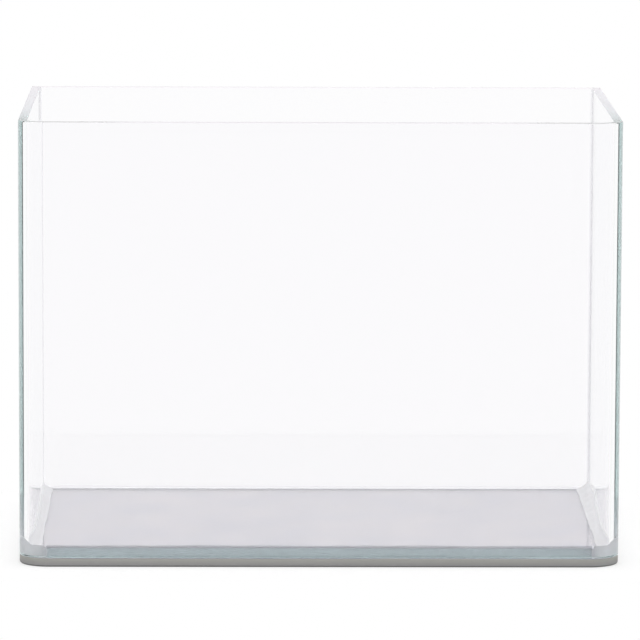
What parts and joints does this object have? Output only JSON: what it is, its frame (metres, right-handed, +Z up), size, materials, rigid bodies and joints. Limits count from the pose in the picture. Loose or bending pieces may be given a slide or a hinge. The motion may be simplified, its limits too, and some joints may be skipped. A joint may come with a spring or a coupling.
{
  "type": "curved glass aquarium",
  "caption": "Small rimless glass tank: one hot-bent sheet is the front and both sides, with a flat back pane, a base pane and clear silicone seams, all on a foam mat.",
  "frame": {"origin": "middle of the underside, on the table", "axes": "+X to the right along the tank's width, the bent front faces -Y, +Z up"},
  "size_m": [0.4, 0.25, 0.297],
  "materials": {
    "float_glass": "clear soda-lime float glass, fire-polished faces, ground arrises, green at its edges",
    "clear_silicone": "cured translucent sealant, tooled smooth",
    "grey_foam": "closed-cell foam sheet, matt"
  },
  "bodies": {
    "root": {"bent_front_glass": "float_glass", "back_glass": "float_glass", "base_glass": "float_glass", "front_base_seam": "clear_silicone", "left_base_seam": "clear_silicone", "right_base_seam": "clear_silicone", "back_base_seam": "clear_silicone", "left_back_seam": "clear_silicone", "right_back_seam": "clear_silicone", "levelling_mat": "grey_foam"}
  },
  "joints": []
}
